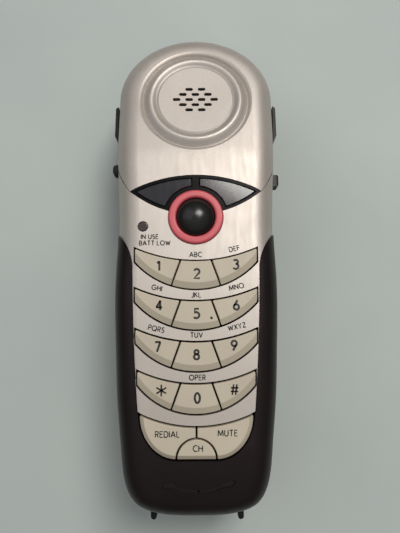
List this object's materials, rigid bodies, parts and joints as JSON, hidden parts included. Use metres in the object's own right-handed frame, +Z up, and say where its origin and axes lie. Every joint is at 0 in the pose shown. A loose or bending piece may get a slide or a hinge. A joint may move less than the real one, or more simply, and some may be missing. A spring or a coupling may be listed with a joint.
{
  "type": "cordless telephone with charging base",
  "caption": "Silver and black cordless handset with arched keypad, eye-shaped key pair and red-ringed dome key, lying face up in a slim black charging cradle.",
  "frame": {"origin": "on the supporting surface, under the centre of the base's footprint", "axes": "+X to the right across the handset seen from above with the earpiece away from the viewer, +Y towards the earpiece end, +Z up out of the keypad"},
  "size_m": [0.064, 0.192, 0.0562],
  "materials": {
    "silver_paint": "satin",
    "grip_plastic": "fine texture, slight sheen",
    "rear_plastic": "satin",
    "base_plastic": "satin",
    "bezel_plastic": "gloss",
    "key_plastic": "satin",
    "eye_key_plastic": "high gloss",
    "dome_plastic": "high gloss",
    "ring_plastic": "satin",
    "lens": "clear tinted",
    "diode": "gloss",
    "jack_plastic": "satin",
    "circuit_board": "solder resist",
    "rubber_black": "matt",
    "shield_metal": "tinned",
    "bright_metal": "plated",
    "speaker_metal": "satin",
    "battery_sleeve": "shrink film"
  },
  "bodies": {
    "base": {"base_top": "base_plastic", "base_bottom": "base_plastic", "base_feet": "rubber_black", "base_screws": "bright_metal", "base_board": "circuit_board", "base_rf_shield": "shield_metal", "base_antenna": "bright_metal", "charge_springs": "bright_metal", "line_jack": "jack_plastic", "power_jack": "jack_plastic", "page_switch": "jack_plastic", "charge_light_lens": "lens"},
    "handset": {"upper_cover": "silver_paint", "front_housing": "silver_paint", "grip_shell": "grip_plastic", "rear_housing": "rear_plastic", "eye_bezel": "bezel_plastic", "talk_ring": "ring_plastic", "status_lens": "lens", "status_led": "diode", "headset_jack": "jack_plastic", "ringer_switch_body": "jack_plastic", "main_board": "circuit_board", "keypad_mat": "rubber_black", "rf_shield_can": "shield_metal", "buzzer": "speaker_metal", "antenna_strip": "bright_metal", "earpiece_speaker": "speaker_metal", "speaker_gasket": "rubber_black", "microphone": "speaker_metal", "microphone_boot": "rubber_black", "battery_pack": "battery_sleeve", "battery_connector": "jack_plastic", "handset_screws": "bright_metal", "charge_contacts": "bright_metal"},
    "key_1": {"key_1": "key_plastic"},
    "key_2": {"key_2": "key_plastic"},
    "key_3": {"key_3": "key_plastic"},
    "key_4": {"key_4": "key_plastic"},
    "key_5": {"key_5": "key_plastic"},
    "key_6": {"key_6": "key_plastic"},
    "key_7": {"key_7": "key_plastic"},
    "key_8": {"key_8": "key_plastic"},
    "key_9": {"key_9": "key_plastic"},
    "key_star": {"key_star": "key_plastic"},
    "key_0": {"key_0": "key_plastic"},
    "key_hash": {"key_hash": "key_plastic"},
    "key_redial": {"key_redial": "key_plastic"},
    "key_mute": {"key_mute": "key_plastic"},
    "key_channel": {"key_channel": "key_plastic"},
    "key_flash": {"key_flash": "eye_key_plastic"},
    "key_program": {"key_program": "eye_key_plastic"},
    "talk_key": {"talk_key": "dome_plastic"},
    "page_button": {"page_button": "base_plastic"},
    "ringer_switch_knob": {"ringer_switch_knob": "base_plastic"},
    "battery_door": {"battery_door": "rear_plastic"},
    "jack_cover": {"jack_cover": "rubber_black"}
  },
  "joints": [
    {"name": "handset_lift", "type": "slide", "parent": "base", "child": "handset", "axis": [0, 0, 1], "range_m": [0, 0.08]},
    {"name": "key_1_press", "type": "slide", "parent": "handset", "child": "key_1", "axis": [0, 0, -1], "range_m": [0, 0.0008], "stiffness_N_per_m": 200, "springref_m": -0.001},
    {"name": "key_2_press", "type": "slide", "parent": "handset", "child": "key_2", "axis": [0, 0, -1], "range_m": [0, 0.0008], "stiffness_N_per_m": 200, "springref_m": -0.001},
    {"name": "key_3_press", "type": "slide", "parent": "handset", "child": "key_3", "axis": [0, 0, -1], "range_m": [0, 0.0008], "stiffness_N_per_m": 200, "springref_m": -0.001},
    {"name": "key_4_press", "type": "slide", "parent": "handset", "child": "key_4", "axis": [0, 0, -1], "range_m": [0, 0.0008], "stiffness_N_per_m": 200, "springref_m": -0.001},
    {"name": "key_5_press", "type": "slide", "parent": "handset", "child": "key_5", "axis": [0, 0, -1], "range_m": [0, 0.0008], "stiffness_N_per_m": 200, "springref_m": -0.001},
    {"name": "key_6_press", "type": "slide", "parent": "handset", "child": "key_6", "axis": [0, 0, -1], "range_m": [0, 0.0008], "stiffness_N_per_m": 200, "springref_m": -0.001},
    {"name": "key_7_press", "type": "slide", "parent": "handset", "child": "key_7", "axis": [0, 0, -1], "range_m": [0, 0.0008], "stiffness_N_per_m": 200, "springref_m": -0.001},
    {"name": "key_8_press", "type": "slide", "parent": "handset", "child": "key_8", "axis": [0, 0, -1], "range_m": [0, 0.0008], "stiffness_N_per_m": 200, "springref_m": -0.001},
    {"name": "key_9_press", "type": "slide", "parent": "handset", "child": "key_9", "axis": [0, 0, -1], "range_m": [0, 0.0008], "stiffness_N_per_m": 200, "springref_m": -0.001},
    {"name": "key_star_press", "type": "slide", "parent": "handset", "child": "key_star", "axis": [0, 0, -1], "range_m": [0, 0.0008], "stiffness_N_per_m": 200, "springref_m": -0.001},
    {"name": "key_0_press", "type": "slide", "parent": "handset", "child": "key_0", "axis": [0, 0, -1], "range_m": [0, 0.0008], "stiffness_N_per_m": 200, "springref_m": -0.001},
    {"name": "key_hash_press", "type": "slide", "parent": "handset", "child": "key_hash", "axis": [0, 0, -1], "range_m": [0, 0.0008], "stiffness_N_per_m": 200, "springref_m": -0.001},
    {"name": "key_redial_press", "type": "slide", "parent": "handset", "child": "key_redial", "axis": [0, 0, -1], "range_m": [0, 0.0008], "stiffness_N_per_m": 200, "springref_m": -0.001},
    {"name": "key_mute_press", "type": "slide", "parent": "handset", "child": "key_mute", "axis": [0, 0, -1], "range_m": [0, 0.0008], "stiffness_N_per_m": 200, "springref_m": -0.001},
    {"name": "key_channel_press", "type": "slide", "parent": "handset", "child": "key_channel", "axis": [0, 0, -1], "range_m": [0, 0.0008], "stiffness_N_per_m": 200, "springref_m": -0.001},
    {"name": "key_flash_press", "type": "slide", "parent": "handset", "child": "key_flash", "axis": [0, 0, -1], "range_m": [0, 0.0008], "stiffness_N_per_m": 200, "springref_m": -0.001},
    {"name": "key_program_press", "type": "slide", "parent": "handset", "child": "key_program", "axis": [0, 0, -1], "range_m": [0, 0.0008], "stiffness_N_per_m": 200, "springref_m": -0.001},
    {"name": "talk_key_press", "type": "slide", "parent": "handset", "child": "talk_key", "axis": [0, 0, -1], "range_m": [0, 0.001], "stiffness_N_per_m": 200, "springref_m": -0.001},
    {"name": "page_button_press", "type": "slide", "parent": "base", "child": "page_button", "axis": [0, 0, -1], "range_m": [0, 0.0008], "stiffness_N_per_m": 200, "springref_m": -0.001},
    {"name": "ringer_switch_slide", "type": "slide", "parent": "handset", "child": "ringer_switch_knob", "axis": [0, 1, 0], "range_m": [0, 0.0025]},
    {"name": "battery_door_slide", "type": "slide", "parent": "handset", "child": "battery_door", "axis": [0, -1, 0], "range_m": [0, 0.007]},
    {"name": "jack_cover_pull", "type": "slide", "parent": "handset", "child": "jack_cover", "axis": [-1, 0, 0], "range_m": [0, 0.009]}
  ]
}
